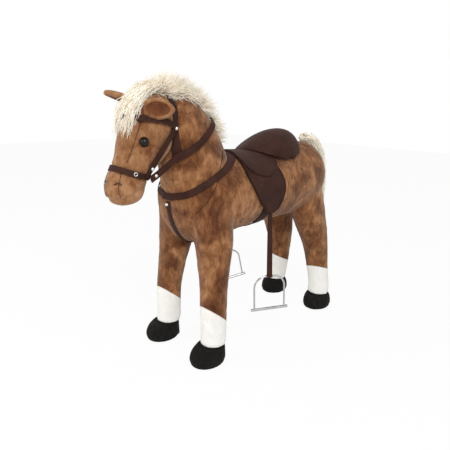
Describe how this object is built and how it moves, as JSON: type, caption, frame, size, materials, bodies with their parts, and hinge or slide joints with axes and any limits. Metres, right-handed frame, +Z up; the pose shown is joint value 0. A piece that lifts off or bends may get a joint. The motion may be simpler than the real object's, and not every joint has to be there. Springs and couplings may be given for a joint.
{
  "type": "standing plush ride-on horse",
  "caption": "Standing stuffed toy horse on a hidden steel frame, with saddle, bridle, breast collar, long-pile mane and tail, and wire stirrups that swing on straps.",
  "frame": {"origin": "bottom centre of the whole horse, on the floor plane of the soles", "axes": "+X the way the horse faces, +Y the horse's left, +Z up"},
  "size_m": [0.8254, 0.291, 0.719],
  "materials": {
    "frame_steel": "satin powder coat",
    "zinc_steel": "zinc plated",
    "black_plastic": "matte",
    "plywood": "sanded",
    "stuffing": "loose polyester fibre",
    "white_plush": "short white plush",
    "black_velour": "velour",
    "eye_black": "glossy",
    "brown_plush": "short mottled chestnut plush",
    "cream_pile": "long cream pile",
    "bright_metal": "nickel plated",
    "stirrup_steel": "bright plated wire",
    "saddle_leatherette": "dark brown leatherette",
    "strap_leatherette": "dark brown leatherette strap"
  },
  "bodies": {
    "horse": {"barrel_cover": "brown_plush", "barrel_stuffing": "stuffing", "breast_collar": "strap_leatherette", "breast_strap": "strap_leatherette", "browband": "strap_leatherette", "cheek_strap_left": "strap_leatherette", "cheek_strap_right": "strap_leatherette", "ear_left": "brown_plush", "ear_right": "brown_plush", "eye_left": "eye_black", "eye_right": "eye_black", "eye_washers": "black_plastic", "foot_plates": "black_plastic", "forelock": "cream_pile", "frame_bolts": "zinc_steel", "frame_nuts": "zinc_steel", "front_left_cover": "brown_plush", "front_left_hoof": "black_velour", "front_left_sock": "white_plush", "front_left_stuffing": "stuffing", "front_leg_frame": "frame_steel", "front_right_cover": "brown_plush", "front_right_hoof": "black_velour", "front_right_sock": "white_plush", "front_right_stuffing": "stuffing", "girth": "strap_leatherette", "head_cover": "brown_plush", "head_stuffing": "stuffing", "headpiece": "strap_leatherette", "mane": "cream_pile", "neck_cover": "brown_plush", "neck_post": "frame_steel", "neck_stuffing": "stuffing", "noseband": "strap_leatherette", "noseband_eyelets": "bright_metal", "rear_left_cover": "brown_plush", "rear_left_hoof": "black_velour", "rear_left_sock": "white_plush", "rear_left_stuffing": "stuffing", "rear_leg_frame": "frame_steel", "rear_right_cover": "brown_plush", "rear_right_hoof": "black_velour", "rear_right_sock": "white_plush", "rear_right_stuffing": "stuffing", "reins": "strap_leatherette", "saddle_flap_left": "saddle_leatherette", "saddle_flap_right": "saddle_leatherette", "saddle_seat": "saddle_leatherette", "saddle_skirt_left": "saddle_leatherette", "saddle_skirt_right": "saddle_leatherette", "seat_board": "plywood", "spine_tube": "frame_steel", "stirrup_rivets": "bright_metal", "strap_studs": "bright_metal"},
    "left_stirrup_strap": {"stirrup_leather_left": "strap_leatherette"},
    "right_stirrup_strap": {"stirrup_leather_right": "strap_leatherette"},
    "left_stirrup_iron": {"stirrup_iron_left": "stirrup_steel"},
    "right_stirrup_iron": {"stirrup_iron_right": "stirrup_steel"},
    "tail": {"tail": "cream_pile"}
  },
  "joints": [
    {"name": "left_strap_swing", "type": "hinge", "parent": "horse", "child": "left_stirrup_strap", "pos_m": [-0.0164, 0.1128, 0.393], "axis": [0, 1, 0], "range_deg": [-13.5, 36.5]},
    {"name": "right_strap_swing", "type": "hinge", "parent": "horse", "child": "right_stirrup_strap", "pos_m": [-0.0164, -0.1128, 0.393], "axis": [0, 1, 0], "range_deg": [-26, 24]},
    {"name": "left_iron_tilt", "type": "hinge", "parent": "left_stirrup_strap", "child": "left_stirrup_iron", "pos_m": [-0.02892, 0.1128, 0.18838], "axis": [0.8463, -0.5302, -0.052], "range_deg": [-60, 60]},
    {"name": "right_iron_tilt", "type": "hinge", "parent": "right_stirrup_strap", "child": "right_stirrup_iron", "pos_m": [-0.07291, -0.1128, 0.19594], "axis": [0.815, -0.53, -0.234], "range_deg": [-60, 60]},
    {"name": "tail_lift", "type": "hinge", "parent": "horse", "child": "tail", "pos_m": [-0.3334, 0, 0.549], "axis": [0, 1, 0], "range_deg": [0, 50]}
  ]
}
